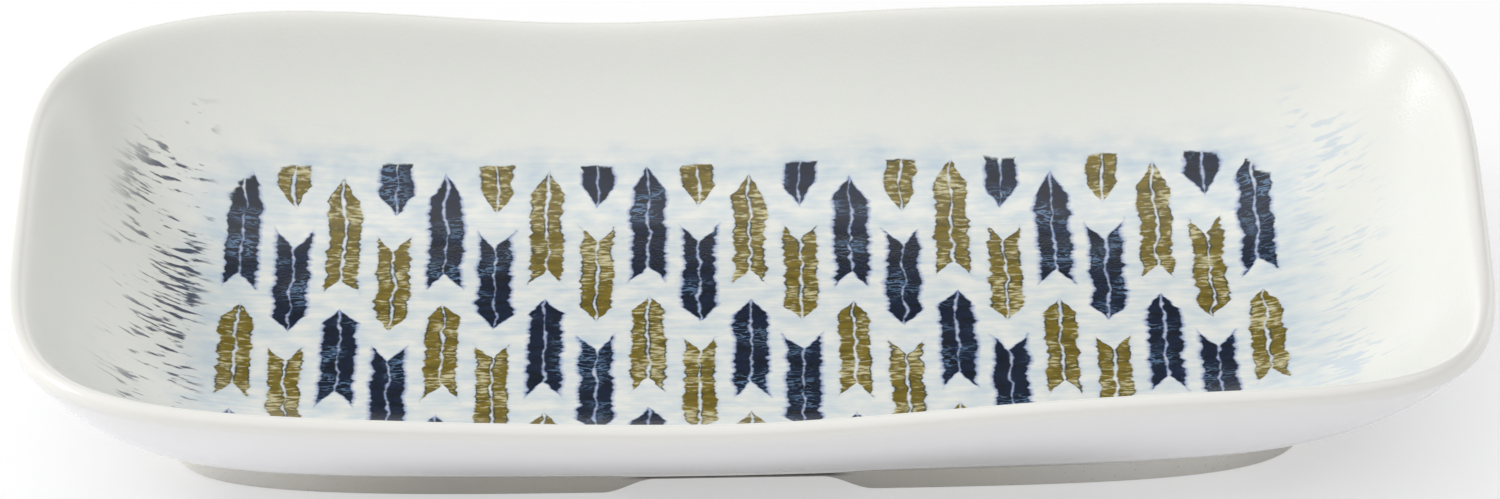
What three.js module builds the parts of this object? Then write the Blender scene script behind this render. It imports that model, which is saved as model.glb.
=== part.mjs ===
// Deep rectangular serving platter in glazed ceramic: a flared dish with a wavy, rounded lip, standing on
// a foot ring with a drain notch in each long side. A colour film lies in the well under the clear glaze.
// Millimetres, +Z up, long axis along X, front towards -Y, origin on the table under the middle of the rim.
import * as THREE from "three";

// Rim, seen from above
const LENGTH = 350;
const WIDTH = 200;
const RIM_SIDE_POWER = 6.3; // a larger power makes the long sides straighter
const RIM_END_POWER = 4; // a larger power makes the short ends straighter

// Lip
const RIM_HEIGHT = 43.3; // mean height of the lip's crest above the table
const LIP_THICKNESS = 5.1;
const LIP_OUTER_ANGLE = -32; // degrees on the lip's round section where the outer wall leaves it
const LIP_INNER_ANGLE = 144; // degrees on the lip's round section where the inner wall leaves it

// The lip's slow wave: each crest or dip as its turn round the rim, counter-clockwise from +X, and its share
// of the wave's height
const WAVE_HEIGHT = 5;
const RIM_WAVE = [
  [0.099, 0.52],
  [0.198, 0.2],
  [0.281, -0.38],
  [0.362, 0.84],
  [0.484, 0.5],
  [0.61, 0],
  [0.741, -0.9],
  [0.84, 0.28],
  [0.94, -1],
];

// Walls and floor
const BASE_THICKNESS = 5.5; // floor of the well down to the recess
const FLOOR_INSET = 20; // flat floor's edge inside the foot's outline
const FLOOR_POWER = 3.6; // the flat floor has rounder corners than the foot
const OUTER_BELLY = new THREE.Vector2(0.38, 0.67); // inward and downward pull of the outer wall's curve
const INNER_SWEEP = new THREE.Vector2(0.43, 1); // the inner wall runs out level into the floor

// Foot ring
const FOOT_INSET_LEFT = 37.4; // foot inside the rim at the left end
const FOOT_INSET_RIGHT = 44.6; // foot inside the rim at the right end, which flares further
const FOOT_INSET_SIDE = 39; // foot inside the rim at the long sides
const FOOT_SIDE_POWER = 4.2;
const FOOT_END_POWER = 7.3;
const FOOT_HEIGHT = 5.5;
const FOOT_WIDTH = 8;
const FOOT_ROUND = 0.7; // rounding of the standing face's edges
const NOTCH_TOP = 39.5; // flat length of the drain notch
const NOTCH_RUN = 12; // S-curved rise at each end of the notch
const NOTCH_RIDGE = 2.1; // foot left standing above the notch

// Coats
const GLAZE = 0.5;
const GLAZE_LAND = 1.2; // width of the outer glaze's lower edge, which sits on the foot
const BASE_GLAZE_GAP = 0.3; // base glaze stops this far short of the foot
const PRINT_FILM = 0.2;
const PRINT_EDGE = 0.6; // end of the print on the inner wall's curve: 0 at the lip, 1 at the floor

// Facets
const RING_POINTS = 72;
const CORNER_CROWDING = 0.35; // how much closer the points of a ring stand at the corners
const OUTER_LIP_STEPS = 4;
const OUTER_WALL_STEPS = 5;
const INNER_LIP_STEPS = 2;
const PLAIN_WALL_STEPS = 4;
const PRINT_WALL_STEPS = 4;
const NOTCH_STEPS = 5;
const ROUND_STEPS = 2;

const FULL_TURN = 2 * Math.PI;
const LIP_RADIUS = LIP_THICKNESS / 2;
const FLOOR_HEIGHT = FOOT_HEIGHT + BASE_THICKNESS;
const CREST = 90;

const steps = (count) => Array.from({ length: count + 1 }, (_, step) => step / count);
const corners = 4 * FULL_TURN;
const crowd = (turn) => turn + (CORNER_CROWDING * Math.sin(corners * turn)) / corners;
const ringTurns = steps(RING_POINTS).slice(0, -1).map(crowd);

/** A rounded rectangle, |x/a|^p + |y/b|^q = 1, about a middle on the X axis, read by its turn from +X. */
class Outline {
  constructor(middle, halfLength, halfWidth, sidePower, endPower) {
    Object.assign(this, { middle, halfLength, halfWidth, sidePower, endPower });
  }

  fromMiddle(turn) {
    const across = Math.cos(FULL_TURN * turn);
    const along = Math.sin(FULL_TURN * turn);
    const load = Math.abs(across) ** this.sidePower + Math.abs(along) ** this.endPower;
    const x = (this.halfLength * across) / load ** (1 / this.sidePower);
    const y = (this.halfWidth * along) / load ** (1 / this.endPower);
    return new THREE.Vector2(x, y);
  }

  normal(turn) {
    const { x, y } = this.fromMiddle(turn);
    const [a, b, p, q] = [this.halfLength, this.halfWidth, this.sidePower, this.endPower];
    const nx = (Math.sign(x) * p * (Math.abs(x) / a) ** (p - 1)) / a;
    const ny = (Math.sign(y) * q * (Math.abs(y) / b) ** (q - 1)) / b;
    return new THREE.Vector2(nx, ny).normalize();
  }

  /** The point at a turn, moved square to the outline into the shape, at a height. */
  inside(turn, inset, height) {
    const { x, y } = this.fromMiddle(turn).addScaledVector(this.normal(turn), -inset);
    return new THREE.Vector3(this.middle + x, y, height);
  }

  /** The turns at which the long sides, at the back and at the front, pass close to x from the middle. */
  turnsAt(x) {
    const turn = Math.acos(x / this.halfLength) / FULL_TURN;
    return [turn, 1 - turn];
  }
}

const footMiddle = (FOOT_INSET_LEFT - FOOT_INSET_RIGHT) / 2;
const footHalfLength = (LENGTH - FOOT_INSET_LEFT - FOOT_INSET_RIGHT) / 2;
const footHalfWidth = WIDTH / 2 - FOOT_INSET_SIDE;
const rim = new Outline(0, LENGTH / 2, WIDTH / 2, RIM_SIDE_POWER, RIM_END_POWER);
const foot = new Outline(footMiddle, footHalfLength, footHalfWidth, FOOT_SIDE_POWER, FOOT_END_POWER);
const floor = new Outline(
  footMiddle,
  footHalfLength - FLOOR_INSET,
  footHalfWidth - FLOOR_INSET,
  FLOOR_POWER,
  FLOOR_POWER,
);

// Points on the dish: a depth of 0 is the glaze's face, and a greater depth lies under it

/** Height that the wave adds to the lip: it eases from each crest or dip to the next, once round. */
function rimLift(turn) {
  const [[first, share]] = RIM_WAVE;
  const place = turn < first ? turn + 1 : turn;
  const rounds = [...RIM_WAVE, [first + 1, share]];
  const rise = rounds.slice(1).reduce((sum, [end, to], k) => {
    const [start, from] = rounds[k];
    return sum + (to - from) * THREE.MathUtils.smoothstep(place, start, end);
  }, share);
  return WAVE_HEIGHT * rise;
}

function lipPoint(turn, degrees, depth) {
  const angle = THREE.MathUtils.degToRad(degrees);
  const radius = LIP_RADIUS - depth;
  const centre = RIM_HEIGHT - LIP_RADIUS + rimLift(turn);
  return rim.inside(turn, LIP_RADIUS - radius * Math.cos(angle), centre + radius * Math.sin(angle));
}

/** A point part of the way along a wall, whose curve is drawn from its upper to its lower end. */
function wallPoint(upper, lower, pull, share) {
  const curve = new THREE.QuadraticBezierCurve(new THREE.Vector2(0, 0), pull, new THREE.Vector2(1, 1));
  const way = curve.getPoint(share);
  const { x, y } = upper.clone().lerp(lower, way.x);
  return new THREE.Vector3(x, y, THREE.MathUtils.lerp(upper.z, lower.z, way.y));
}

function outerWallPoint(turn, share, depth) {
  const upper = lipPoint(turn, LIP_OUTER_ANGLE, depth);
  const lower = foot.inside(turn, (depth / GLAZE) * GLAZE_LAND, FOOT_HEIGHT);
  return wallPoint(upper, lower, OUTER_BELLY, share);
}

function innerWallPoint(turn, share, depth) {
  const upper = lipPoint(turn, LIP_INNER_ANGLE, depth);
  const lower = floor.inside(turn, 0, FLOOR_HEIGHT - depth);
  return wallPoint(upper, lower, INNER_SWEEP, share);
}

// Rings round the dish

const ringOf = (pointAt) => ringTurns.map(pointAt);
const lipRing = (degrees, depth) => ringOf((turn) => lipPoint(turn, degrees, depth));
const lipSteps = (from, to, count) => steps(count).map((step) => THREE.MathUtils.lerp(from, to, step));

/** Rings from the lip's crest down the outside to the foot. */
function outerRings(depth) {
  const lip = lipSteps(CREST, LIP_OUTER_ANGLE, OUTER_LIP_STEPS);
  const wall = steps(OUTER_WALL_STEPS).slice(1);
  return [
    ...lip.map((degrees) => lipRing(degrees, depth)),
    ...wall.map((share) => ringOf((turn) => outerWallPoint(turn, share, depth))),
  ];
}

/** Rings from the lip's crest down the inside to the print's edge. */
function plainRings(depth) {
  const lip = lipSteps(CREST, LIP_INNER_ANGLE, INNER_LIP_STEPS);
  const wall = steps(PLAIN_WALL_STEPS).slice(1);
  return [
    ...lip.map((degrees) => lipRing(degrees, depth)),
    ...wall.map((step) => ringOf((turn) => innerWallPoint(turn, step * PRINT_EDGE, depth))),
  ];
}

/** Rings from the print's edge down to the flat floor's edge. */
function printRings(depth) {
  const shares = steps(PRINT_WALL_STEPS).map((step) => THREE.MathUtils.lerp(PRINT_EDGE, 1, step));
  return shares.map((share) => ringOf((turn) => innerWallPoint(turn, share, depth)));
}

// Solids

/**
 * Skins a list of rings. Facets face out when the list runs outwards over the top and inwards underneath.
 * A looped list joins its last ring to its first; any other list is closed by a flat fan at each end.
 * Each quad is cut downwards from its higher ring, so that two solids that share rings share facets.
 */
function skin(rings, looped = false) {
  const count = rings[0].length;
  const points = rings.flat();
  const triangles = [];
  const bands = looped ? rings.length : rings.length - 1;
  for (let band = 0; band < bands; band++) {
    for (let j = 0; j < count; j++) {
      const next = (j + 1) % count;
      const here = band * count;
      const there = ((band + 1) % rings.length) * count;
      const [a, b, c, d] = [here + j, there + j, there + next, here + next];
      if (points[a].z > points[b].z) triangles.push(a, b, c, a, c, d);
      else triangles.push(a, b, d, b, c, d);
    }
  }
  if (!looped) {
    const last = (rings.length - 1) * count;
    const middleOf = (ring) => new THREE.Vector3(0, 0, ring[0].z);
    const top = points.push(middleOf(rings[0])) - 1;
    const bottom = points.push(middleOf(rings.at(-1))) - 1;
    for (let j = 0; j < count; j++) {
      const next = (j + 1) % count;
      triangles.push(top, j, next);
      triangles.push(bottom, last + next, last + j);
    }
  }
  const geometry = new THREE.BufferGeometry().setFromPoints(points);
  geometry.setIndex(triangles);
  geometry.computeVertexNormals();
  return geometry;
}

function clayBody() {
  const well = [...plainRings(GLAZE), ...printRings(GLAZE).slice(1)].reverse();
  return skin([...well, ...outerRings(GLAZE).slice(1)]);
}

function printFilm() {
  const upper = printRings(GLAZE - PRINT_FILM).reverse();
  return skin([...upper, ...printRings(GLAZE)]);
}

function innerGlaze() {
  const face = [...plainRings(0), ...printRings(0).slice(1)].reverse();
  return skin([...face, ...plainRings(GLAZE), ...printRings(GLAZE - PRINT_FILM)]);
}

function outerGlaze() {
  return skin([...outerRings(0), ...outerRings(GLAZE).reverse()], true);
}

function baseGlaze() {
  const inset = FOOT_WIDTH + BASE_GLAZE_GAP;
  const heights = [FOOT_HEIGHT, FOOT_HEIGHT - GLAZE];
  return skin(heights.map((height) => ringOf((turn) => foot.inside(turn, inset, height))));
}

/** How far the drain notch lifts the foot's standing face at x from the foot's middle. */
function notchLift(x) {
  const fall = THREE.MathUtils.smoothstep(Math.abs(x), NOTCH_TOP / 2, NOTCH_TOP / 2 + NOTCH_RUN);
  return (FOOT_HEIGHT - NOTCH_RIDGE) * (1 - fall);
}

/** Turns of the foot's sections: a ring's own, clear of the notches, and close ones on each notch's ends. */
function footTurns() {
  const notchEnd = NOTCH_TOP / 2 + NOTCH_RUN;
  const rises = steps(NOTCH_STEPS).map((step) => NOTCH_TOP / 2 + step * NOTCH_RUN);
  const ends = [...rises, ...rises.map((x) => -x)];
  const close = ends.flatMap((x) => foot.turnsAt(x));
  const reach = notchEnd + NOTCH_RUN / NOTCH_STEPS;
  const clear = ringTurns.filter((turn) => Math.abs(foot.fromMiddle(turn).x) > reach);
  return [...clear, ...close].sort((a, b) => a - b);
}

/** The foot's section as insets from its outline and heights as shares of the foot that stands there. */
function footSection() {
  const round = FOOT_ROUND / FOOT_HEIGHT;
  const corner = steps(ROUND_STEPS).map((step) => (step * Math.PI) / 2);
  const outer = corner.map((angle) => [FOOT_ROUND * (1 - Math.cos(angle)), round * (1 - Math.sin(angle))]);
  const inner = outer.map(([inset, share]) => [FOOT_WIDTH - inset, share]).reverse();
  return [[0, 1], ...outer, ...inner, [FOOT_WIDTH, 1]];
}

function footRing() {
  const turns = footTurns();
  const rings = footSection().map(([inset, share]) =>
    turns.map((turn) => {
      const lift = notchLift(foot.fromMiddle(turn).x);
      return foot.inside(turn, inset, THREE.MathUtils.lerp(lift, FOOT_HEIGHT, share));
    }),
  );
  return skin(rings, true);
}

// Assembly

const CLAY = { color: 0xe6e1d8, roughness: 0.85, metalness: 0 };
const BARE_FOOT = { color: 0xd8d3ca, roughness: 0.7, metalness: 0 };
const COLOUR_FILM = { color: 0x2b3a55, roughness: 0.6, metalness: 0 };
const CLEAR_GLAZE = { color: 0xf3f4f2, roughness: 0.18, metalness: 0 };
const WHITE_GLAZE = { color: 0xf0f0f1, roughness: 0.12, metalness: 0 };

const platter = new THREE.Group();
platter.name = "deep_platter";

function addPiece(name, geometry, finish) {
  const piece = new THREE.Mesh(geometry, new THREE.MeshStandardMaterial(finish));
  piece.name = name;
  platter.add(piece);
}

addPiece("clay_body", clayBody(), CLAY);
addPiece("foot_ring", footRing(), BARE_FOOT);
addPiece("print_film", printFilm(), COLOUR_FILM);
addPiece("inner_glaze", innerGlaze(), CLEAR_GLAZE);
addPiece("outer_glaze", outerGlaze(), WHITE_GLAZE);
addPiece("base_glaze", baseGlaze(), WHITE_GLAZE);

export default platter;
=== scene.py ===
# %% [markdown]
# # A deep platter in glazed ceramic
#
# The object is a flared, soft-cornered serving dish. Its rounded lip rises and falls a little, and it
# stands on a foot ring with a drain notch in each long side. The well carries a dyed-looking print under
# a clear glaze. The lesson loads the solids of the dish as a fixed frame and dresses them: one smooth
# glaze coat over the clay, the bare foot ring, the coat in the recess underneath, and a finish for each.

import math

import bpy
from mathutils import Matrix, Vector


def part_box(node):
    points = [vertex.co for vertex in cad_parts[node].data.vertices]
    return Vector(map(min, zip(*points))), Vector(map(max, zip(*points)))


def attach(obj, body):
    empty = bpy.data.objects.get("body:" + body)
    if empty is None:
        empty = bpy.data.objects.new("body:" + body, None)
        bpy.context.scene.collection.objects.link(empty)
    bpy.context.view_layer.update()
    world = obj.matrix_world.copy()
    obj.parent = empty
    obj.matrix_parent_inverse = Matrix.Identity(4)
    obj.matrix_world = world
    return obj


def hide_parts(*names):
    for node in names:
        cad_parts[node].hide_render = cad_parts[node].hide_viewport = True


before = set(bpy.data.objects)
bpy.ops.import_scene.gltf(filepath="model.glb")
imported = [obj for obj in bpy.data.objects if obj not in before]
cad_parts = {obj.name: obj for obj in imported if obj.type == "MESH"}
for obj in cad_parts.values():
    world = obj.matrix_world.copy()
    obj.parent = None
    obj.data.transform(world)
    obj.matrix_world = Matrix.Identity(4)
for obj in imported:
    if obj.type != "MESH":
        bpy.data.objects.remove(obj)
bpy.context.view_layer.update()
print("Solids in the frame:", ", ".join(sorted(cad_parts)))

# %% [markdown]
# ## Camera
#
# The photograph is taken from the front, from well above the rim, with a long lens, so the dish hardly
# narrows towards the back. Distance, height and roll come from fitting a camera to the rim and the foot.
# The camera is aimed a little above the dish, so that the dish sits low in the frame without any lens
# shift.

# %% Place the camera
PHOTO_WIDTH = 1500
PHOTO_HEIGHT = 499
STAND_PIXEL = (751.6, 362.5)  # where the middle of the standing face appears
FOCAL_PIXELS = 9605
CAMERA_DISTANCE = 2.3
CAMERA_RISE = math.radians(29.55)
CAMERA_ROLL = math.radians(-0.92)


def place_camera():
    lens = bpy.data.cameras.new("photo_camera")
    lens.lens = lens.sensor_width * FOCAL_PIXELS / PHOTO_WIDTH
    back = Vector((0, -math.cos(CAMERA_RISE), math.sin(CAMERA_RISE)))
    level = Vector((1, 0, 0))
    right = level * math.cos(CAMERA_ROLL) + back.cross(level) * math.sin(CAMERA_ROLL)
    up = back.cross(right)
    pixel = CAMERA_DISTANCE / FOCAL_PIXELS
    aim = up * pixel * (STAND_PIXEL[1] - PHOTO_HEIGHT / 2)
    aim -= right * pixel * (STAND_PIXEL[0] - PHOTO_WIDTH / 2)
    spot = back * CAMERA_DISTANCE
    look = (spot - aim).normalized()
    side = up.cross(look).normalized()
    camera = bpy.data.objects.new("photo_camera", lens)
    turned = Matrix((side, look.cross(side), look)).transposed()
    camera.matrix_world = Matrix.Translation(spot) @ turned.to_4x4()
    bpy.context.scene.collection.objects.link(camera)
    bpy.context.scene.camera = camera
    return camera


camera = place_camera()
print(f"Camera: {camera.data.lens:.1f} mm lens at {tuple(round(v, 3) for v in camera.location)}")

# %% [markdown]
# ## Sums as Python
#
# Shapes and finishes below are both made of nodes. A sum of ten Math nodes is hard to read as a list of
# links, so one small class stands for a node's output, and Python's own operators on it add the Math
# nodes.

# %% A wire that can be reckoned with


class Wire:
    """One output of a node tree. Sums on wires are Python expressions, and each adds its Math node."""

    def __init__(self, tree, socket=None):
        self.tree = tree
        self.socket = socket

    def add(self, kind, settings=None, sockets=None, output=0):
        """Adds any node: its settings come first, then the values or wires of its sockets."""
        node = self.tree.nodes.new(kind)
        for name, value in (settings or {}).items():
            setattr(node, name, value)
        for name, value in (sockets or {}).items():
            self.plug(node.inputs[name], value)
        return Wire(self.tree, node.outputs[output])

    def plug(self, target, value):
        """Sets an input socket to a value, or links it to a wire or to each wire of a list."""
        if isinstance(value, (Wire, list)):
            for wire in [value] if isinstance(value, Wire) else value:
                self.tree.links.new(wire.socket, target)
        else:
            target.default_value = value

    def outputs(self):
        """All the outputs of this wire's node."""
        return [Wire(self.tree, socket) for socket in self.socket.node.outputs]

    def calc(self, operation, *others):
        return self.add("ShaderNodeMath", {"operation": operation}, dict(enumerate((self, *others))))

    def after(self, operation, first):
        return self.add("ShaderNodeMath", {"operation": operation}, {0: first, 1: self})

    def ease(self, start, end, low=0.0, high=1.0):
        """Runs smoothly from low to high while this wire runs from start to end."""
        ends = {"From Min": start, "From Max": end, "To Min": low, "To Max": high}
        settings = {"interpolation_type": "SMOOTHSTEP"}
        return self.add("ShaderNodeMapRange", settings, {"Value": self, **ends})

    def __add__(self, other):
        return self.calc("ADD", other)

    def __sub__(self, other):
        return self.calc("SUBTRACT", other)

    def __mul__(self, other):
        return self.calc("MULTIPLY", other)

    def __truediv__(self, other):
        return self.calc("DIVIDE", other)

    def __pow__(self, other):
        return self.calc("POWER", other)

    def __abs__(self):
        return self.calc("ABSOLUTE")

    def __rsub__(self, other):
        return self.after("SUBTRACT", other)

    def __rtruediv__(self, other):
        return self.after("DIVIDE", other)

    __radd__ = __add__
    __rmul__ = __mul__


def between(first, second, way):
    """The value part of the way from first to second."""
    return first + (second - first) * way


def paint(red, green, blue):
    """A screen colour of 0 to 255 a channel as the linear colour that a shader takes."""
    channels = [value / 255 for value in (red, green, blue)]
    linear = [c / 12.92 if c <= 0.04045 else ((c + 0.055) / 1.055) ** 2.4 for c in channels]
    return (*linear, 1.0)


print("Mid grey of the screen as a linear colour:", [round(value, 3) for value in paint(128, 128, 128)])

# %% [markdown]
# ## Studio
#
# The dish was shot on white, under a broad soft light from above. A softbox on the left leaves its streak
# on the front left corner of the lip. A smaller, weaker light behind it leaves a gleam in the back right
# corner of the well. The right and back walls of the room are dim higher up, which keeps the navy in the
# well deep, because the well mirrors them. Lower down the room is brighter and lights the outside of the
# dish. The room is a sky with a strength of its own for each wall, so the same light is there for every
# view. The white floor takes a soft shadow.

# %% Light the dish
LAMP_DISTANCE = 1.6
LAMPS = {  # the way to each lamp, its size in metres and its watts
    "softbox": ((-0.8, 0.12, 0.57), 0.6, 4.5),
    "back_light": ((-0.71, 0.64, 0.29), 0.3, 1.2),
}
OVERHEAD_LIGHT = 1.21
OVERHEAD_RISE = (0.53, 0.8)  # the rise of a ray at which the overhead light begins, and at which it is full
LOW_ROOM_RISE = (0.4, 0.22)  # the same for the lower half of the walls
ROOM_WALLS = {  # the light from the upper and the lower half of each wall of the room
    "left": (1.03, 1.2),
    "right": (0.05, 0.95),
    "front": (0.38, 0.55),
    "back": (0.05, 1.3),
}
PURE_WHITE = (1, 1, 1, 1)
FLOOR_PAPER = (0.96, 0.96, 0.96, 1)
FLOOR_SIZE = 40.0
FLOOR_OWN_WHITE = 0.5  # share of white that the floor shows where it is seen, which pales its shadow
FLOOR_DROP = 0.0002  # keeps the floor just clear of the standing face


def add_lamp(name, way, size, watts):
    lamp = bpy.data.lights.new(name, "AREA")
    lamp.size = size
    lamp.energy = watts
    panel = bpy.data.objects.new(name, lamp)
    panel.location = Vector(way).normalized() * LAMP_DISTANCE
    panel.rotation_euler = Vector(way).to_track_quat("Z", "Y").to_euler()
    bpy.context.scene.collection.objects.link(panel)


def light_room():
    world = bpy.data.worlds.new("studio")
    world.use_nodes = True
    sheet = Wire(world.node_tree)
    way = sheet.add("ShaderNodeTexCoord", {}, {}, "Generated")
    x, y, z = sheet.add("ShaderNodeSeparateXYZ", {}, {0: way}).outputs()
    overhead = z.ease(*OVERHEAD_RISE)
    lower = z.ease(*LOW_ROOM_RISE)
    upper = (1 - overhead) * (1 - lower)
    leans = {"left": 0 - x, "right": x, "front": 0 - y, "back": y}
    level = x * x + y * y + 1e-6
    sky = overhead * OVERHEAD_LIGHT
    for wall, (high, low) in ROOM_WALLS.items():
        share = leans[wall].calc("MAXIMUM", 0.0) ** 2 / level
        sky = sky + share * (upper * high + lower * low)
    sheet.plug(world.node_tree.nodes["Background"].inputs["Strength"], sky)
    world.node_tree.nodes["Background"].inputs["Color"].default_value = PURE_WHITE
    bpy.context.scene.world = world


def mix_floor_white():
    white = bpy.data.materials.new("floor_white")
    white.use_nodes = True
    sheet = Wire(white.node_tree)
    paper = sheet.add("ShaderNodeBsdfDiffuse", {}, {"Color": FLOOR_PAPER})
    shine = sheet.add("ShaderNodeEmission", {}, {"Color": PURE_WHITE, "Strength": 1.0})
    path = sheet.add("ShaderNodeLightPath")
    rays = {wire.socket.name: wire for wire in path.outputs()}
    seen = rays["Is Camera Ray"].calc("MAXIMUM", rays["Is Glossy Ray"])
    seen = seen.calc("MAXIMUM", rays["Is Transmission Ray"])
    mixed = sheet.add("ShaderNodeMixShader", {}, {0: seen * FLOOR_OWN_WHITE, 1: paper, 2: shine})
    sheet.plug(white.node_tree.nodes["Material Output"].inputs["Surface"], mixed)
    return white


def lay_floor():
    half = FLOOR_SIZE / 2
    corners = [(-half, -half), (half, -half), (half, half), (-half, half)]
    mesh = bpy.data.meshes.new("floor")
    mesh.from_pydata([(x, y, -FLOOR_DROP) for x, y in corners], [], [(0, 1, 2, 3)])
    floor = bpy.data.objects.new("floor", mesh)
    bpy.context.scene.collection.objects.link(floor)
    mesh.materials.append(mix_floor_white())


for name, (way, size, watts) in LAMPS.items():
    add_lamp(name, way, size, watts)
light_room()
lay_floor()
bpy.context.scene.view_settings.view_transform = "Standard"
print(f"Lamps: {', '.join(LAMPS)}; overhead light {OVERHEAD_LIGHT}; walls {ROOM_WALLS}")

# %% [markdown]
# ## The rule of the dish
#
# Every face of the dish follows one rule. Seen from above, its outlines are rounded rectangles of the
# form |x/a|^p + |y/b|^q = 1, read by their turn from +X. The lip is a round roll that follows the rim,
# lifted by a slow wave. The walls are curves drawn from the lip to the foot outside, and from the lip to
# the flat floor inside. A face that lies deeper, under the glaze, is the same rule with a smaller roll.
# Geometry Nodes can hold such a rule as fields, so each face is a flat grid whose two directions become
# the turn and the way along the section.

# %% Sizes of the dish
MILLIMETRE = 0.001
FULL_TURN = 2 * math.pi
RIM_POWERS = (6.3, 4.0)
FOOT_POWERS = (4.2, 7.3)
FLOOR_POWERS = (3.6, 3.6)
LIP_OUTER_ANGLE = math.radians(-32)
LIP_INNER_ANGLE = math.radians(144)
SHOULDER_ANGLE = math.radians(104)  # where the lip's roll begins to flatten towards the well
SHOULDER_END = 0.24  # the way down the inner wall where that flattening ends
SHOULDER_LEAVE = 1.0  # how far its curve follows the roll, in radians
SHOULDER_ARRIVE = 0.15  # how far it follows the wall, as a way
SLOPE_STEP = 0.01  # the step by which the slopes at its ends are measured
OUTER_BELLY = (0.38, 0.67)
INNER_SWEEP = (0.43, 1.0)
WAVE = [
    (0.099, 0.52),
    (0.198, 0.2),
    (0.281, -0.38),
    (0.362, 0.84),
    (0.484, 0.5),
    (0.61, 0.0),
    (0.741, -0.9),
    (0.84, 0.28),
    (0.94, -1.0),
]

rim_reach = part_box("outer_glaze")[1]
foot_low, foot_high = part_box("foot_ring")
SIZES = {
    "Half Length": rim_reach.x,
    "Half Width": rim_reach.y,
    "Rim Height": 43.3 * MILLIMETRE,
    "Wave Height": 5.0 * MILLIMETRE,
    "Lip Radius": 2.55 * MILLIMETRE,
    "Foot Middle": (foot_low.x + foot_high.x) / 2,
    "Foot Half Length": (foot_high.x - foot_low.x) / 2,
    "Foot Half Width": foot_high.y,
    "Foot Height": foot_high.z,
    "Floor Inset": 20.0 * MILLIMETRE,
    "Base Thickness": 5.5 * MILLIMETRE,
    "Glaze": rim_reach.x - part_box("clay_body")[1].x,
    "Glaze Land": 1.2 * MILLIMETRE,
}
print("Sizes in mm:", {name: round(value / MILLIMETRE, 2) for name, value in SIZES.items()})

# %% Outlines, lip and walls as fields


def cosine(angle):
    return angle.calc("COSINE") if isinstance(angle, Wire) else math.cos(angle)


def sine(angle):
    return angle.calc("SINE") if isinstance(angle, Wire) else math.sin(angle)


class Outline:
    """A rounded rectangle as fields: its point and outward direction at a turn."""

    def __init__(self, turn, half_length, half_width, powers, middle=0.0):
        p, q = powers
        across = cosine(turn * FULL_TURN)
        along = sine(turn * FULL_TURN)
        load = abs(across) ** p + abs(along) ** q
        across_share = across / load ** (1 / p)
        along_share = along / load ** (1 / q)
        lean_x = across.calc("SIGN") * p * abs(across_share) ** (p - 1) / half_length
        lean_y = along.calc("SIGN") * q * abs(along_share) ** (q - 1) / half_width
        steepness = (lean_x * lean_x + lean_y * lean_y) ** 0.5
        self.from_middle = half_length * across_share
        self.point = (self.from_middle + middle, half_width * along_share)
        self.outward = (lean_x / steepness, lean_y / steepness)

    def inside(self, inset, height):
        """The outline's point moved square to it into the shape, at a height."""
        x, y = (spot - out * inset for spot, out in zip(self.point, self.outward))
        return x, y, height


class Dish:
    """The dish's faces as fields of a grid: x is the turn round the rim, y the way along the section."""

    def __init__(self, tree, size):
        sheet = Wire(tree)
        spot = sheet.add("GeometryNodeInputPosition")
        grid = sheet.add("ShaderNodeSeparateXYZ", {}, {0: spot}).outputs()
        self.turn = grid[0] + 0.5
        self.way = grid[1] + 0.5
        self.size = size
        self.rim = Outline(self.turn, size["Half Length"], size["Half Width"], RIM_POWERS)
        foot_halves = (size["Foot Half Length"], size["Foot Half Width"])
        self.foot = Outline(self.turn, *foot_halves, FOOT_POWERS, size["Foot Middle"])
        floor_halves = [half - size["Floor Inset"] for half in foot_halves]
        self.floor = Outline(self.turn, *floor_halves, FLOOR_POWERS, size["Foot Middle"])
        self.floor_height = size["Foot Height"] + size["Base Thickness"]
        self.lift = self.wave() * size["Wave Height"]

    def wave(self):
        """The lip eases from each crest or dip to the next, once round."""
        first, share = WAVE[0]
        place = self.turn + self.turn.calc("LESS_THAN", first)
        stations = [*WAVE, (first + 1, share)]
        rise = share
        for (start, low), (end, high) in zip(stations, stations[1:]):
            rise = place.ease(start, end, 0.0, high - low) + rise
        return rise

    def lip(self, angle, depth):
        roll = self.size["Lip Radius"] - depth
        inset = self.size["Lip Radius"] - roll * cosine(angle)
        centre = self.size["Rim Height"] - self.size["Lip Radius"] + self.lift
        return self.rim.inside(inset, centre + roll * sine(angle))

    def wall(self, upper, lower, pull, way):
        inward, downward = (2 * way * (1 - way) * share + way * way for share in pull)
        ways = (inward, inward, downward)
        return tuple(between(*ends) for ends in zip(upper, lower, ways))

    def outer_wall(self, depth, land, way):
        lower = self.foot.inside(land, self.size["Foot Height"])
        return self.wall(self.lip(LIP_OUTER_ANGLE, depth), lower, OUTER_BELLY, way)

    def inner_wall(self, depth, way):
        lower = (*self.floor.point, self.floor_height - depth)
        return self.wall(self.lip(LIP_INNER_ANGLE, depth), lower, INNER_SWEEP, way)

    def shoulder(self, depth, way):
        """A curve that leaves the lip along its roll and runs out along the inner wall."""
        steps = (0.0, SLOPE_STEP)
        lip_end, lip_next = (self.lip(SHOULDER_ANGLE + more, depth) for more in steps)
        wall_end, wall_next = (self.inner_wall(depth, SHOULDER_END + more) for more in steps)
        leave = [a + (b - a) * (SHOULDER_LEAVE / SLOPE_STEP) for a, b in zip(lip_end, lip_next)]
        arrive = [a + (a - b) * (SHOULDER_ARRIVE / SLOPE_STEP) for a, b in zip(wall_end, wall_next)]
        shares = [(1 - way) ** 3, 3 * way * (1 - way) ** 2, 3 * way * way * (1 - way), way ** 3]
        return tuple(
            sum(share * spot for share, spot in zip(shares, spots))
            for spots in zip(lip_end, leave, arrive, wall_end)
        )


print(f"The lip passes {len(WAVE)} crests and dips on its way round")

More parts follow.
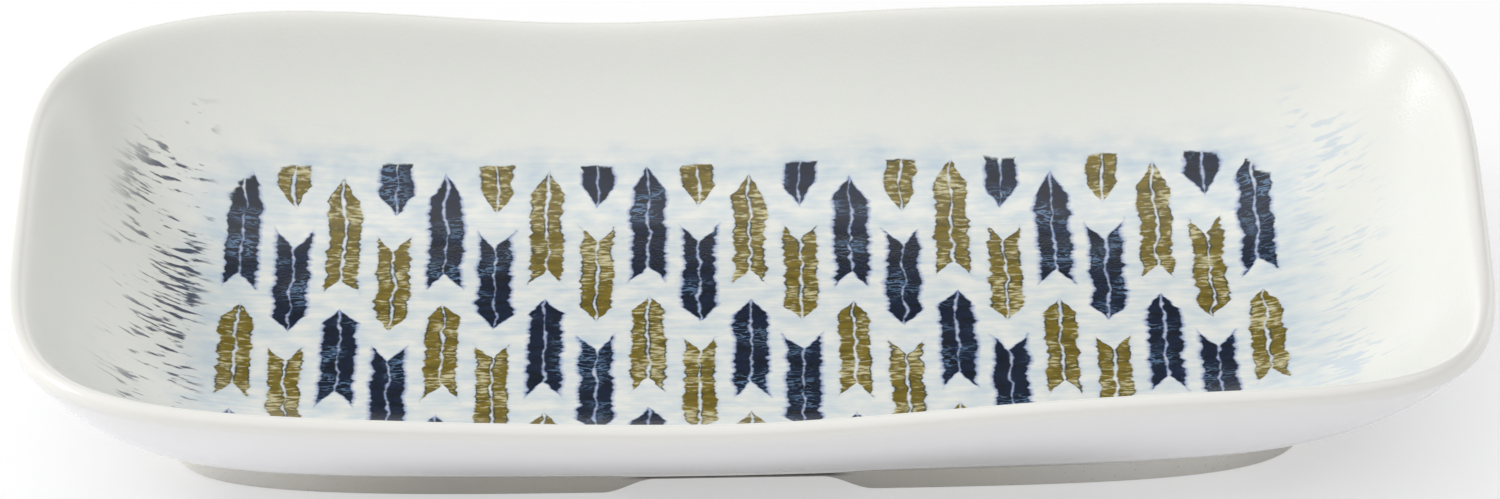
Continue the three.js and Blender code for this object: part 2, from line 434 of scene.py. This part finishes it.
# %% [markdown]
# ## Grids into a closed skin
#
# A tree lays one grid for each stretch of the section, bends it by its field, joins the grids and welds
# their edges. Edges that turn sharply, as where the glaze ends on the foot, stay crisp, and all else is
# shaded smooth. The tree ends in Realize Instances and Set Material. Its result is kept as a plain mesh
# at the origin.

# %% Tree helpers
WELD = 2e-6
CRISP_ANGLE = math.radians(40)


def start_tree(name, labels):
    """A new tree with a number input for each label, and the wires of those inputs."""
    tree = bpy.data.node_groups.new(name, "GeometryNodeTree")
    for label in labels:
        tree.interface.new_socket(label, in_out="INPUT", socket_type="NodeSocketFloat")
    tree.interface.new_socket("Mesh", in_out="OUTPUT", socket_type="NodeSocketGeometry")
    group = tree.nodes.new("NodeGroupInput")
    return tree, {label: Wire(tree, group.outputs[label]) for label in labels}


def strip(tree, columns, rows, place, section=0.0):
    """A grid round the dish, bent to its place and marked with its way along the section."""
    sheet = Wire(tree)
    counts = {"Size X": 1.0, "Size Y": 1.0, "Vertices X": columns + 1, "Vertices Y": rows + 1}
    grid = sheet.add("GeometryNodeMeshGrid", {}, counts)
    mark = {"Geometry": grid, "Name": "section", "Value": section}
    marked = sheet.add("GeometryNodeStoreNamedAttribute", {}, mark)
    spot = sheet.add("ShaderNodeCombineXYZ", {}, dict(zip("XYZ", place)))
    return sheet.add("GeometryNodeSetPosition", {}, {"Geometry": marked, "Position": spot})


def close_tree(tree, strips, finish):
    """Welds the strips into one skin that faces out, and ends the tree."""
    sheet = Wire(tree)
    joined = sheet.add("GeometryNodeJoinGeometry", {}, {"Geometry": strips})
    welded = sheet.add("GeometryNodeMergeByDistance", {}, {"Geometry": joined, "Distance": WELD})
    turned = sheet.add("GeometryNodeFlipFaces", {}, {"Mesh": welded})
    smooth = sheet.add("GeometryNodeSetShadeSmooth", {"domain": "FACE"}, {"Geometry": turned})
    crisp = sheet.add("GeometryNodeInputMeshEdgeAngle").calc("GREATER_THAN", CRISP_ANGLE)
    edges = {"Geometry": smooth, "Selection": crisp, "Shade Smooth": False}
    edged = sheet.add("GeometryNodeSetShadeSmooth", {"domain": "EDGE"}, edges)
    real = sheet.add("GeometryNodeRealizeInstances", {}, {"Geometry": edged})
    done = sheet.add("GeometryNodeSetMaterial", {}, {"Geometry": real, "Material": finish})
    result = tree.nodes.new("NodeGroupOutput")
    sheet.plug(result.inputs["Mesh"], done)


def grow(name, tree, sizes):
    """Runs a tree with its inputs set by identifier, and keeps what it makes as a plain mesh."""
    piece = bpy.data.objects.new(name, bpy.data.meshes.new(name))
    bpy.context.scene.collection.objects.link(piece)
    modifier = piece.modifiers.new(name, "NODES")
    modifier.node_group = tree
    for item in tree.interface.items_tree:
        if item.in_out == "INPUT":
            modifier[item.identifier] = sizes[item.name]
    graph = bpy.context.evaluated_depsgraph_get()
    piece.data = bpy.data.meshes.new_from_object(piece.evaluated_get(graph))
    piece.data.name = name
    piece.modifiers.remove(modifier)
    print(f"{name}: {len(piece.data.polygons)} faces, {len(piece.data.vertices)} points")
    return piece


print(f"Edges that turn by more than {math.degrees(CRISP_ANGLE):.0f} degrees stay crisp")

# %% [markdown]
# ## The white glaze
#
# The white of the dish is one glaze, satin on the inner wall and glossy on the lip and outside. It runs
# thin over the lip, where the warm clay shows through, and lies thicker and cooler on the outside. Painted
# shade greys it under the belly of the long sides and towards its end on the foot, where shade falls. A
# colour that follows the section can't be read from Object coordinates alone, because the inside and the
# outside are only a few millimetres apart. So each point of the coat carries its way along the section as
# an attribute, from the middle of the well over the lip to the foot, and the finish reads that. A fine
# orange-peel bump on the satin spreads the gleam of the lamps.

# %% Colours that vary in patches
WELL, INNER_WALL, SHOULDER, LIP, OUTER_WALL, FOOT_EDGE = range(6)  # the stages of the section


def dapple(place, wide, deep, detail=2.0, seed=0.0):
    """Soft random values about 0, mostly within -1 and 1, in patches of a size in millimetres."""
    sizes = {0: place, 1: (1 / wide, 1 / deep, 0.0), 2: (seed, seed, seed)}
    spread = place.add("ShaderNodeVectorMath", {"operation": "MULTIPLY_ADD"}, sizes)
    noise = place.add("ShaderNodeTexNoise", {}, {"Vector": spread, "Scale": 1.0, "Detail": detail})
    return (noise - 0.5) * 4


def tint(first, second, share):
    """A colour that goes from first to second as share goes from 0 to 1."""
    return share.add("ShaderNodeMix", {"data_type": "RGBA"}, {0: share, 6: first, 7: second}, 2)


def new_finish(name, **constants):
    """A material with its shader, whose even values are set at once, and a wire to build on."""
    finish = bpy.data.materials.new(name)
    finish.use_nodes = True
    shader = finish.node_tree.nodes["Principled BSDF"]
    for socket, value in constants.items():
        shader.inputs[socket.replace("_", " ")].default_value = value
    return finish, shader, Wire(finish.node_tree)


def place_in_millimetres(sheet):
    """Object coordinates in millimetres, as one vector and as its three parts."""
    spot = sheet.add("ShaderNodeTexCoord", {}, {}, "Object")
    place = sheet.add("ShaderNodeVectorMath", {"operation": "SCALE"}, {0: spot, "Scale": 1 / MILLIMETRE})
    return place, sheet.add("ShaderNodeSeparateXYZ", {}, {0: place}).outputs()


print(f"The section runs in {FOOT_EDGE} stages from the well to the foot's edge")

# %% White glaze
INNER_WHITE = paint(234, 235, 229)
LIP_WHITE = paint(237, 236, 231)
OUTER_WHITE = paint(238, 238, 241)
# painted shade: the wall greys towards the foot's edge and under the belly of the long sides
FOOT_EDGE_SHADE = paint(206, 204, 202)
BELLY_SHADE = paint(150, 147, 147)
BELLY_SHADE_SIDES = (115.0, 55.0)  # millimetres from the middle of a long side where the grey begins and is full
PEEL_GRAIN = 0.8
PEEL_DEPTH = 0.06
RIPPLE_SCALE = 0.06
RIPPLE_DEPTH = 0.2
INNER_ROUGHNESS = 0.2
LIP_ROUGHNESS = 0.1


def along_sides(x, start, end):
    """0 from start millimetres away from the middle of both long sides, and 1 from end inwards."""
    return abs(x - SIZES["Foot Middle"] / MILLIMETRE).ease(start, end)


def white_glaze(place, x, section):
    """Warm where the glaze is thin on the lip, cool outside, with painted shade towards the foot and under
    the belly.
    """
    clouds = dapple(place, wide=30.0, deep=30.0) * 0.08
    colour = tint(INNER_WHITE, LIP_WHITE, section.ease(SHOULDER + 0.2, LIP + 0.2) + clouds)
    colour = tint(colour, OUTER_WHITE, section.ease(LIP + 0.55, OUTER_WALL + 0.3) + clouds)
    # Painted shade towards the foot's edge, where the low wall lies in shade.
    colour = tint(colour, FOOT_EDGE_SHADE, section.ease(FOOT_EDGE - 0.4, FOOT_EDGE) * 0.7)
    # Painted shade under the belly of the long sides, which turns down into shade.
    belly = along_sides(x, *BELLY_SHADE_SIDES) * section.ease(FOOT_EDGE - 0.9, FOOT_EDGE - 0.35)
    return tint(colour, BELLY_SHADE, belly * 0.8)


def glaze_skin(place, section):
    """Roughness and bump: fine-grained satin inside over slow ripples, gloss on the lip and outside."""
    peel = {"Vector": place, "Scale": 1 / PEEL_GRAIN, "Detail": 2.0}
    grain = place.add("ShaderNodeTexNoise", {}, peel)
    ripple = place.add("ShaderNodeTexNoise", {}, {"Vector": place, "Scale": RIPPLE_SCALE, "Detail": 1.0})
    satin = section.ease(LIP + 0.3, SHOULDER + 0.7)
    height = grain * satin * PEEL_DEPTH + ripple * (0.15 + satin * 0.85) * RIPPLE_DEPTH
    depth = {"Height": height, "Distance": MILLIMETRE, "Strength": 1.0}
    return between(LIP_ROUGHNESS, INNER_ROUGHNESS, satin), place.add("ShaderNodeBump", {}, depth)


print(f"Roughness: inside {INNER_ROUGHNESS}, lip and outside {LIP_ROUGHNESS}")

# %% [markdown]
# ## The print under the glaze
#
# A colour print lies in the well: rows of arrow feathers in navy and ochre, a common woven-cloth pattern,
# with the look of thread-dyed cloth. There the dye creeps along each thread, so that edges are ragged
# line by line, the navy glows blue at its edges, the ochre is streaked with cream, and a pale wash clouds
# the white between them. All of it is sums on Object coordinates seen from above, so it needs no picture
# and stays sharp at any distance. A feather is the place where three distances, to its ends, its flanks
# and its quill, are all positive.

# %% Arrow feathers
FEATHER_PITCH = 12.3
FEATHER_REPEAT = 54.0
FEATHER_SHIFT = 8.0
FEATHER_LENGTH = 39.0
FEATHER_HALF = 3.9
FEATHER_SLANT = 1.7
FEATHER_DRIFT = 5.0
QUILL = 0.8
THREAD_FRAY = 0.6
CLOTH_WOBBLE = 0.9
PRINT_HALF_LENGTH = 129.2
PRINT_HALF_WIDTH = 68.0
PRINT_SQUARENESS = 9.0


def print_zone(x, y):
    """Millimetres inside the print's edge, negative outside it."""
    reach = abs(x / PRINT_HALF_LENGTH) ** PRINT_SQUARENESS
    reach = reach + abs(y / PRINT_HALF_WIDTH) ** PRINT_SQUARENESS
    return (1 - reach ** (1 / PRINT_SQUARENESS)) * PRINT_HALF_WIDTH


def feathers(place, x, y):
    """Millimetres inside the nearest feather's edge, and 1 where it is ochre or 0 where it is navy."""
    across = x + dapple(place, wide=13.0, deep=8.0, seed=7.0) * CLOTH_WOBBLE
    column = (across / FEATHER_PITCH).calc("ROUND")
    side = abs(across - column * FEATHER_PITCH)
    turned = column.calc("FLOORED_MODULO", 2.0)
    drift = column.add("ShaderNodeTexWhiteNoise", {"noise_dimensions": "1D"}, {"W": column}) - 0.5
    slant = side * FEATHER_SLANT * (1 - 2 * turned)
    along = y + FEATHER_SHIFT + slant + turned * (FEATHER_REPEAT / 2) + drift * FEATHER_DRIFT
    row = (along / FEATHER_REPEAT).calc("ROUND")
    ends = FEATHER_LENGTH / 2 - abs(along - row * FEATHER_REPEAT)
    quill = (dapple(place, wide=4.0, deep=9.0, detail=1.0, seed=51.0) * 0.6 + 0.5) * QUILL
    fray = dapple(place, wide=5.0, deep=2.2, detail=3.0, seed=3.0) * THREAD_FRAY
    edge = ends.calc("MINIMUM", FEATHER_HALF - side).calc("MINIMUM", print_zone(across, y)) + fray
    edge = edge.calc("MINIMUM", side - quill / 2 + fray * 0.5)
    pair = (column / 2).calc("FLOOR")
    return edge, (pair + row).calc("FLOORED_MODULO", 2.0)


print(f"{2 * PRINT_HALF_LENGTH / FEATHER_PITCH:.0f} columns of feathers, {FEATHER_PITCH} mm apart")

# %% Dyes
OCHRE_DEEP = paint(94, 82, 20)
OCHRE_PALE = paint(134, 117, 42)
NAVY_DEEP = paint(7, 16, 28)
NAVY_PALE = paint(19, 36, 66)
CREAM = paint(214, 208, 168)
CRACKLE_BLUE = paint(112, 146, 182)
FLECK_DEEP = paint(24, 44, 76)
FLECK_PALE = paint(206, 217, 224)
FLECKS_START = (128.0, 134.0)  # millimetres along the dish where the flecks set in
FLECKS_END = (158.0, 142.0)  # and where they run out
FLECKS_TOP = (36.0, 24.0)  # the height at which they run out


def ochre_dye(place):
    paleness = dapple(place, wide=6.0, deep=2.5, detail=3.0, seed=11.0) * 0.6 + 0.45
    bands = dapple(place, wide=14.0, deep=10.0, detail=1.0, seed=17.0) * 0.7
    streaks = (dapple(place, wide=2.8, deep=1.0, seed=13.0) + bands).ease(-0.1, 1.0)
    return tint(tint(OCHRE_DEEP, OCHRE_PALE, paleness), CREAM, streaks * 0.85)


def navy_dye(place):
    paleness = dapple(place, wide=8.0, deep=2.0, detail=3.0, seed=19.0) * 0.6 + 0.4
    crackle = abs(dapple(place, wide=4.5, deep=1.7, seed=23.0)).ease(0.24, 0.0)
    patches = dapple(place, wide=16.0, deep=12.0, detail=1.0, seed=37.0).ease(-0.1, 0.7)
    return tint(tint(NAVY_DEEP, NAVY_PALE, paleness), CRACKLE_BLUE, crackle * patches * 0.75)


def ink_flecks(place, x, height):
    """The colour and the share of ink flecks along the threads past the print's ends, paler at right."""
    patches = dapple(place, wide=16.0, deep=22.0, detail=1.0, seed=43.0) * 0.6
    strokes = dapple(place, wide=6.0, deep=1.9, detail=3.0, seed=41.0) + patches
    reach = abs(x)
    band = reach.ease(*FLECKS_START) * reach.ease(*FLECKS_END) * height.ease(*FLECKS_TOP)
    return tint(FLECK_DEEP, FLECK_PALE, x.ease(0.0, 100.0)), strokes.ease(0.2, 0.65) * band


print("Dyes as linear colours:", {"ochre": OCHRE_DEEP, "navy": NAVY_DEEP, "cream": CREAM})

# %% Glaze and print together
WASH_BLUE = paint(190, 208, 220)
GLOW_BLUE = paint(74, 106, 180)
FRINGE_GREEN = paint(26, 44, 56)


def washed_ground(colour, place, zone, section):
    """The ground clouded by the pale wash, which gathers in a haze round the print's edge."""
    well = zone.ease(-10.0, 4.0) * section.ease(SHOULDER, SHOULDER - 0.2)
    threads = dapple(place, wide=22.0, deep=1.3, seed=33.0) * 0.2
    blots = dapple(place, wide=7.0, deep=4.5, seed=29.0) * 0.45 + threads
    haze = zone.ease(-8.0, -1.0) * zone.ease(6.0, 0.0) * 0.3
    return tint(colour, WASH_BLUE, (blots + 0.3 + haze) * well)


def fringed_dye(place, inside, is_ochre):
    """Navy or ochre, with a dark fringe in places along the edge."""
    patches = dapple(place, wide=9.0, deep=7.0, detail=1.0, seed=47.0).ease(-0.3, 0.4)
    dye = tint(navy_dye(place), ochre_dye(place), is_ochre)
    return tint(dye, FRINGE_GREEN, inside.ease(0.8, 0.2) * patches * 0.85)


def mix_printed_glaze():
    finish, shader, sheet = new_finish("printed_glaze")
    place, (x, y, height) = place_in_millimetres(sheet)
    section = sheet.add("ShaderNodeAttribute", {"attribute_name": "section"}, {}, "Fac")
    inside, is_ochre = feathers(place, x, y)
    zone = print_zone(x, y) + dapple(place, wide=12.0, deep=6.0, seed=53.0) * 2.0
    colour = washed_ground(white_glaze(place, x, section), place, zone, section)
    creep = dapple(place, wide=3.0, deep=1.2, seed=31.0) * 0.25 + 0.7
    glow = inside.ease(-1.2, 0.3) * creep * (1 - is_ochre * 0.8)
    colour = tint(colour, GLOW_BLUE, glow * zone.ease(-0.5, 2.0))
    ink, flecks = ink_flecks(place, x, height)
    colour = tint(colour, ink, flecks * section.ease(SHOULDER + 0.2, SHOULDER) * 0.9)
    dyed = inside.ease(-0.25, 0.35) * section.ease(SHOULDER, SHOULDER - 0.1)
    colour = tint(colour, fringed_dye(place, inside, is_ochre), dyed)
    sheet.plug(shader.inputs["Base Color"], colour)
    roughness, bump = glaze_skin(place, section)
    unevenness = dapple(place, wide=16.0, deep=16.0) * 0.02
    sheet.plug(shader.inputs["Roughness"], roughness + unevenness)
    sheet.plug(shader.inputs["Normal"], bump)
    return finish


glaze = mix_printed_glaze()
print(f"{glaze.name}: {len(glaze.node_tree.nodes)} nodes")

# %% [markdown]
# ## Bare clay and the glaze underneath
#
# The foot ring is wiped clean of glaze before firing, or it would stick to the kiln shelf, so it shows
# the bare body: fine-grained, pale and matt, with a few darker iron specks. Painted shade greys it along
# the middle of the long sides and most on the ridge over the notch, which lies in shade under the wall.
# The recess inside it is glazed, but only thinly, with pinholes. The core of the dish is the same clay as
# the foot and lies hidden under the coats.

# %% Clay and base finishes
CLAY_PALE = paint(240, 236, 228)
CLAY_WARM = paint(234, 227, 216)
CLAY_ROUGHNESS = 0.85
FOOT_PALE = paint(252, 250, 244)
FOOT_WARM = paint(247, 243, 234)
FOOT_ROUGHNESS = 0.62
# painted shade: greyer along the middle of the foot, darkest on the ridge over the notch
FOOT_SHADE = paint(222, 218, 209)
SHADE_LEFT = (-130.0, -70.0)  # millimetres along the foot where the grey begins and is full
SHADE_RIGHT = (110.0, 10.0)
RIDGE_SHADE = paint(100, 96, 93)
RIDGE_SIDES = (28.0, 21.0)  # millimetres from the middle of a long side
RIDGE_RISE = (3.3, 4.3)
SPECK_BROWN = paint(150, 128, 104)
SPECK = 1.6
GRAIN = 0.45
GRAIN_DEPTH = 0.05
BASE_COOL = paint(233, 233, 234)
BASE_WARM = paint(240, 239, 234)
PINHOLE_BROWN = paint(176, 164, 148)
PINHOLE_SCALE = 0.11
BASE_RIPPLE_SCALE = 0.12


def mix_clay(name, pale, warm, roughness, painted_shade=0.0):
    """Bare clay. On the foot, the last argument scales painted shade that greys its middle and darkens the
    ridge over the notch.
    """
    finish, shader, sheet = new_finish(name)
    place, (x, _, height) = place_in_millimetres(sheet)
    grain = sheet.add("ShaderNodeTexNoise", {}, {"Vector": place, "Scale": 1 / GRAIN, "Detail": 3.0})
    cells = sheet.add("ShaderNodeTexVoronoi", {}, {"Vector": place, "Scale": 1 / SPECK})
    warmth = dapple(place, wide=18.0, deep=9.0) * 0.3 + 0.4
    colour = tint(pale, warm, warmth + (grain - 0.5))
    colour = tint(colour, SPECK_BROWN, cells.ease(0.16, 0.06) * 0.35)
    # Painted shade: greyer along the middle of the foot, and darkest on the ridge over the notch.
    colour = tint(colour, FOOT_SHADE, x.ease(*SHADE_LEFT) * x.ease(*SHADE_RIGHT) * painted_shade)
    ridge = along_sides(x, *RIDGE_SIDES) * height.ease(*RIDGE_RISE)
    colour = tint(colour, RIDGE_SHADE, ridge * painted_shade)
    sheet.plug(shader.inputs["Base Color"], colour)
    sheet.plug(shader.inputs["Roughness"], roughness + (grain - 0.5) * 0.3)
    skin = {"Height": grain * GRAIN_DEPTH, "Distance": MILLIMETRE, "Strength": 1.0}
    sheet.plug(shader.inputs["Normal"], sheet.add("ShaderNodeBump", {}, skin))
    return finish


def mix_base_glaze():
    finish, shader, sheet = new_finish("base_white")
    place, _ = place_in_millimetres(sheet)
    clouds = dapple(place, wide=26.0, deep=18.0) * 0.3 + 0.4
    cells = sheet.add("ShaderNodeTexVoronoi", {}, {"Vector": place, "Scale": PINHOLE_SCALE})
    pinholes = cells.ease(0.06, 0.02)
    colour = tint(BASE_COOL, BASE_WARM, clouds)
    sheet.plug(shader.inputs["Base Color"], tint(colour, PINHOLE_BROWN, pinholes * 0.6))
    sheet.plug(shader.inputs["Roughness"], 0.22 + clouds * 0.1)
    wave = {"Vector": place, "Scale": BASE_RIPPLE_SCALE, "Detail": 2.0}
    ripple = sheet.add("ShaderNodeTexNoise", {}, wave)
    skin = {"Height": ripple * 0.15 - pinholes * 0.1, "Distance": MILLIMETRE, "Strength": 1.0}
    sheet.plug(shader.inputs["Normal"], sheet.add("ShaderNodeBump", {}, skin))
    return finish


clay = mix_clay("fired_clay", CLAY_PALE, CLAY_WARM, CLAY_ROUGHNESS)
bare_foot = mix_clay("bare_foot", FOOT_PALE, FOOT_WARM, FOOT_ROUGHNESS, painted_shade=1.0)
base_white = mix_base_glaze()
print("Finishes:", ", ".join(finish.name for finish in (clay, bare_foot, base_white)))

# %% [markdown]
# ## The glaze coat
#
# The dish is dipped, so one coat of glaze runs unbroken from the well over the lip and down to the foot,
# where it is wiped off. As separate pieces for inside and outside it would show a seam on the lip. So one
# tree lays the whole coat: its face, its back on the clay, and the narrow land where it ends on the foot.
# The face has rows enough for a smooth gleam, and the back, which is never seen, only a few.

# %% Grow the glaze coat
COLUMNS = 320
FLOOR_ROWS = 6
WALL_ROWS = 40
LIP_ROWS = 22
HIDDEN_ROWS = 8


def dish_skin(tree, dish, depth, land, wall_rows, lip_rows):
    """Strips from the middle of the well over the lip to the foot, at a depth under the glaze's face."""
    x, y = (half * dish.way for half in dish.floor.point)
    floor = (x, y, dish.floor_height - depth)
    lip = dish.lip(between(SHOULDER_ANGLE, LIP_OUTER_ANGLE, dish.way), depth)
    faces = [
        (FLOOR_ROWS, floor, WELL),
        (wall_rows, dish.inner_wall(depth, between(1, SHOULDER_END, dish.way)), INNER_WALL),
        (lip_rows, dish.shoulder(depth, 1 - dish.way), SHOULDER),
        (lip_rows, lip, LIP),
        (wall_rows, dish.outer_wall(depth, land, dish.way), OUTER_WALL),
    ]
    return [strip(tree, COLUMNS, rows, place, dish.way + start) for rows, place, start in faces]


def turn_over(strips):
    return [wire.add("GeometryNodeFlipFaces", {}, {"Mesh": wire}) for wire in strips]


def grow_glaze_coat():
    tree, size = start_tree("glaze_coat", SIZES)
    dish = Dish(tree, size)
    face = dish_skin(tree, dish, 0.0, 0.0, WALL_ROWS, LIP_ROWS)
    back = dish_skin(tree, dish, size["Glaze"], size["Glaze Land"], HIDDEN_ROWS, HIDDEN_ROWS)
    land = strip(tree, COLUMNS, 1, dish.foot.inside(size["Glaze Land"] * dish.way, size["Foot Height"]))
    close_tree(tree, [*face, land, *turn_over(back)], glaze)
    return grow("glaze_coat", tree, SIZES)


glaze_coat = grow_glaze_coat()

# %% [markdown]
# ## The clay core
#
# Under the glaze lies the pressed body. Its face is the back of the coat, by the same rule at the depth
# of the glaze, and a flat face under the floor closes it. It can't be seen, but the dish would be an
# empty shell without it.

# %% Grow the clay core


def grow_clay_core():
    tree, size = start_tree("clay_core", SIZES)
    dish = Dish(tree, size)
    skin = dish_skin(tree, dish, size["Glaze"], size["Glaze Land"], HIDDEN_ROWS, HIDDEN_ROWS)
    edge = dish.foot.inside(size["Glaze Land"], size["Foot Height"])
    under = strip(tree, COLUMNS, 1, (edge[0] * (1 - dish.way), edge[1] * (1 - dish.way), edge[2]))
    close_tree(tree, [*skin, under], clay)
    return grow("clay_core", tree, SIZES)


clay_core = grow_clay_core()

# %% [markdown]
# ## The foot ring
#
# The dish stands on a raised ring. Its edges are rounded, since a sharp edge of clay would chip, and a
# fillet joins it to the wall. In the middle of each long side it is cut away almost to the top, so that
# water runs off in the dishwasher; a low ridge is left there. The section of the ring is a chain of short
# curves between named points, and a lift that depends on the way along the side raises the lower points
# in the notch.

# %% Grow the foot ring
FOOT_COLUMNS = 720
FOOT_SIZES = {
    **SIZES,
    "Foot Width": 8.0 * MILLIMETRE,
    "Foot Round": 0.7 * MILLIMETRE,
    "Foot Fillet": 0.7 * MILLIMETRE,
    "Notch Top": 39.5 * MILLIMETRE,
    "Notch Run": 12.0 * MILLIMETRE,
    "Notch Ridge": 2.1 * MILLIMETRE,
    "Ridge Round": 0.9 * MILLIMETRE,
    "Ridge Fillet": 0.2 * MILLIMETRE,
}
CREASE_WAY = 0.965  # the way down the outer wall where the foot's fillet begins
RIDGE_CREASE_WAY = 0.99  # the same over the notch
FACE_START = 0.98  # how much of the rounding's height lies below the upright faces
FILLET_ROWS = 6
FACE_ROWS = 3
ROUND_ROWS = 5
LAND_ROWS = 2


def bend(first, middle, last, way):
    """A curve from first to last that leaves and arrives along the lines to the middle point."""
    near = [between(a, b, way) for a, b in zip(first, middle)]
    far = [between(b, c, way) for b, c in zip(middle, last)]
    return tuple(between(a, b, way) for a, b in zip(near, far))


def straight(first, last, way):
    return tuple(between(a, b, way) for a, b in zip(first, last))


def grow_foot():
    tree, size = start_tree("foot", FOOT_SIZES)
    dish = Dish(tree, size)
    foot = dish.foot
    way = dish.way
    top = size["Foot Height"]
    half_top = size["Notch Top"] / 2
    fall = abs(foot.from_middle).ease(half_top, half_top + size["Notch Run"])
    lift = (top - size["Notch Ridge"]) * (1 - fall)
    width, standing_round, fillet = (size[f"Foot {part}"] for part in ("Width", "Round", "Fillet"))
    rounding = between(size["Ridge Round"], standing_round, fall)
    crease_round = between(size["Ridge Fillet"], fillet, fall)
    shoulder = lift + rounding * FACE_START
    ceiling = top - size["Glaze"]
    wall_end = dish.outer_wall(0.0, 0.0, between(RIDGE_CREASE_WAY, CREASE_WAY, fall))
    crease = foot.inside(0.0, top)
    face_top = foot.inside(0.0, top - crease_round)
    face_foot = foot.inside(0.0, shoulder)
    heel = foot.inside(0.0, lift)
    land_outer = foot.inside(rounding, lift)
    land_inner = foot.inside(width - rounding, lift)
    toe = foot.inside(width, lift)
    inner_foot = foot.inside(width, shoulder)
    inner_top = foot.inside(width, ceiling - fillet)
    inner_crease = foot.inside(width, ceiling)
    inner_end = foot.inside(width + fillet, ceiling)
    hidden = foot.inside(width + fillet, top)
    section = [
        (FILLET_ROWS, bend(wall_end, crease, face_top, way)),
        (FACE_ROWS, straight(face_top, face_foot, way)),
        (ROUND_ROWS, bend(face_foot, heel, land_outer, way)),
        (LAND_ROWS, straight(land_outer, land_inner, way)),
        (ROUND_ROWS, bend(land_inner, toe, inner_foot, way)),
        (FACE_ROWS, straight(inner_foot, inner_top, way)),
        (FILLET_ROWS, bend(inner_top, inner_crease, inner_end, way)),
        (1, straight(inner_end, hidden, way)),
        (1, straight(hidden, crease, way)),
        (1, straight(crease, wall_end, way)),
    ]
    strips = [strip(tree, FOOT_COLUMNS, rows, place) for rows, place in section]
    close_tree(tree, strips, bare_foot)
    return grow("foot", tree, FOOT_SIZES)


foot = grow_foot()

# %% [markdown]
# ## The recess
#
# Inside the ring the underside is flat and glazed. Its coat is a thin plate that ends on the ring's inner
# face.

# %% Grow the base coat


def grow_base_coat():
    tree, size = start_tree("base_coat", FOOT_SIZES)
    dish = Dish(tree, size)
    top = size["Foot Height"]
    x, y, bottom = dish.foot.inside(size["Foot Width"], top - size["Glaze"])
    way = dish.way
    section = [
        (x * (1 - way), y * (1 - way), bottom),
        (x, y, between(top, bottom, way)),
        (x * way, y * way, top),
    ]
    strips = [strip(tree, COLUMNS, 1, place) for place in section]
    close_tree(tree, strips, base_white)
    return grow("base_coat", tree, FOOT_SIZES)


base_coat = grow_base_coat()

# %% [markdown]
# ## The pieces on the frame
#
# Nothing on a platter moves, so every piece rides on the root of the frame. Each takes the place of the
# solids that it dresses, which are hidden.

# %% Ride and replace
DRESSING = [
    (glaze_coat, "clear_glaze", ("inner_glaze", "outer_glaze", "print_film")),
    (clay_core, "fired_clay", ("clay_body",)),
    (foot, "bare_foot", ("foot_ring",)),
    (base_coat, "white_glaze", ("base_glaze",)),
]
for piece, slot, nodes in DRESSING:
    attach(piece, "root")
    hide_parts(*nodes)
